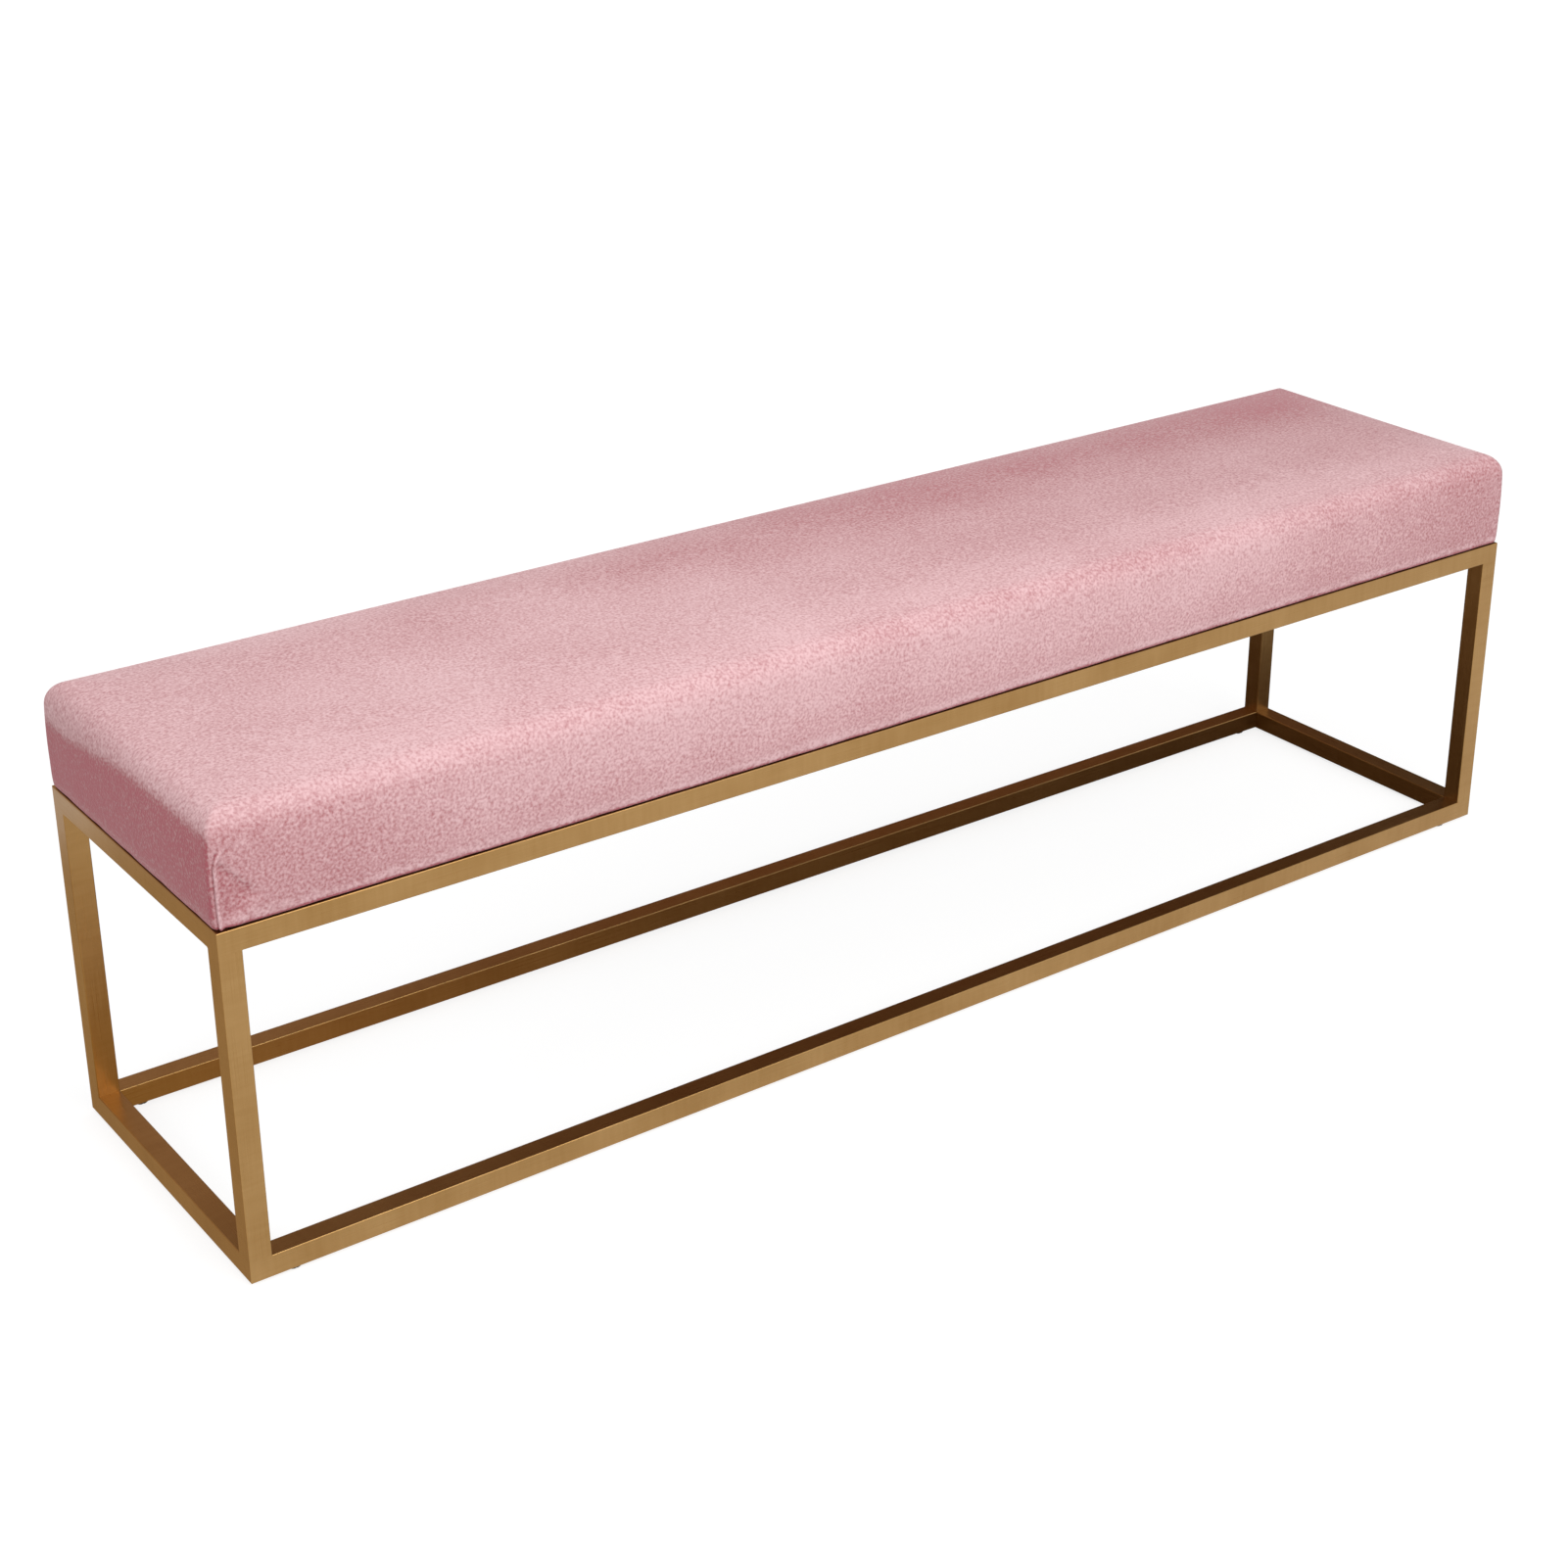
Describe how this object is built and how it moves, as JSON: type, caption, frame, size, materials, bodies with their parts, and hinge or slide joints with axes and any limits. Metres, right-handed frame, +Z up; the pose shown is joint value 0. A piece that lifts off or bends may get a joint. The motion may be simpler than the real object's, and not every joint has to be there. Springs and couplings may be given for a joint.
{
  "type": "upholstered bench",
  "caption": "Long backless bench: a padded box seat in plain velvet on an open welded frame of slim square metal tube, standing on small levelling glides.",
  "frame": {"origin": "on the floor, under the middle of the bench", "axes": "+X along the bench to the right, +Y towards the back, +Z up"},
  "size_m": [1.604, 0.364, 0.4658],
  "materials": {
    "brushed_brass": "satin",
    "bare_steel": "matte",
    "velvet": "matte",
    "wadding": "matte",
    "foam": "matte",
    "plywood": "matte",
    "black_nonwoven": "matte",
    "galvanised_wire": "satin",
    "zinc_steel": "satin",
    "nylon": "matte"
  },
  "bodies": {
    "bench": {"bottom_rail_back": "brushed_brass", "bottom_rail_front": "brushed_brass", "bottom_rail_left": "brushed_brass", "bottom_rail_right": "brushed_brass", "cover_staples": "galvanised_wire", "cross_brace_left": "bare_steel", "cross_brace_middle": "bare_steel", "cross_brace_right": "bare_steel", "dust_cover": "black_nonwoven", "dust_cover_staples": "galvanised_wire", "foam_core": "foam", "glide_inserts": "zinc_steel", "leg_back_left": "brushed_brass", "leg_back_right": "brushed_brass", "leg_front_left": "brushed_brass", "leg_front_right": "brushed_brass", "seat_board": "plywood", "seat_screws": "zinc_steel", "seat_t_nuts": "zinc_steel", "seat_washers": "zinc_steel", "top_rail_back": "brushed_brass", "top_rail_front": "brushed_brass", "top_rail_left": "brushed_brass", "top_rail_right": "brushed_brass", "velvet_cover": "velvet", "wadding_wrap": "wadding"},
    "glide_front_left": {"glide_pad_front_left": "nylon", "glide_stem_front_left": "zinc_steel"},
    "glide_front_right": {"glide_pad_front_right": "nylon", "glide_stem_front_right": "zinc_steel"},
    "glide_back_left": {"glide_pad_back_left": "nylon", "glide_stem_back_left": "zinc_steel"},
    "glide_back_right": {"glide_pad_back_right": "nylon", "glide_stem_back_right": "zinc_steel"}
  },
  "joints": [
    {"name": "glide_front_left_screw", "type": "slide", "parent": "bench", "child": "glide_front_left", "axis": [0, 0, -1], "range_m": [0, 0.008]},
    {"name": "glide_front_right_screw", "type": "slide", "parent": "bench", "child": "glide_front_right", "axis": [0, 0, -1], "range_m": [0, 0.008]},
    {"name": "glide_back_left_screw", "type": "slide", "parent": "bench", "child": "glide_back_left", "axis": [0, 0, -1], "range_m": [0, 0.008]},
    {"name": "glide_back_right_screw", "type": "slide", "parent": "bench", "child": "glide_back_right", "axis": [0, 0, -1], "range_m": [0, 0.008]}
  ]
}
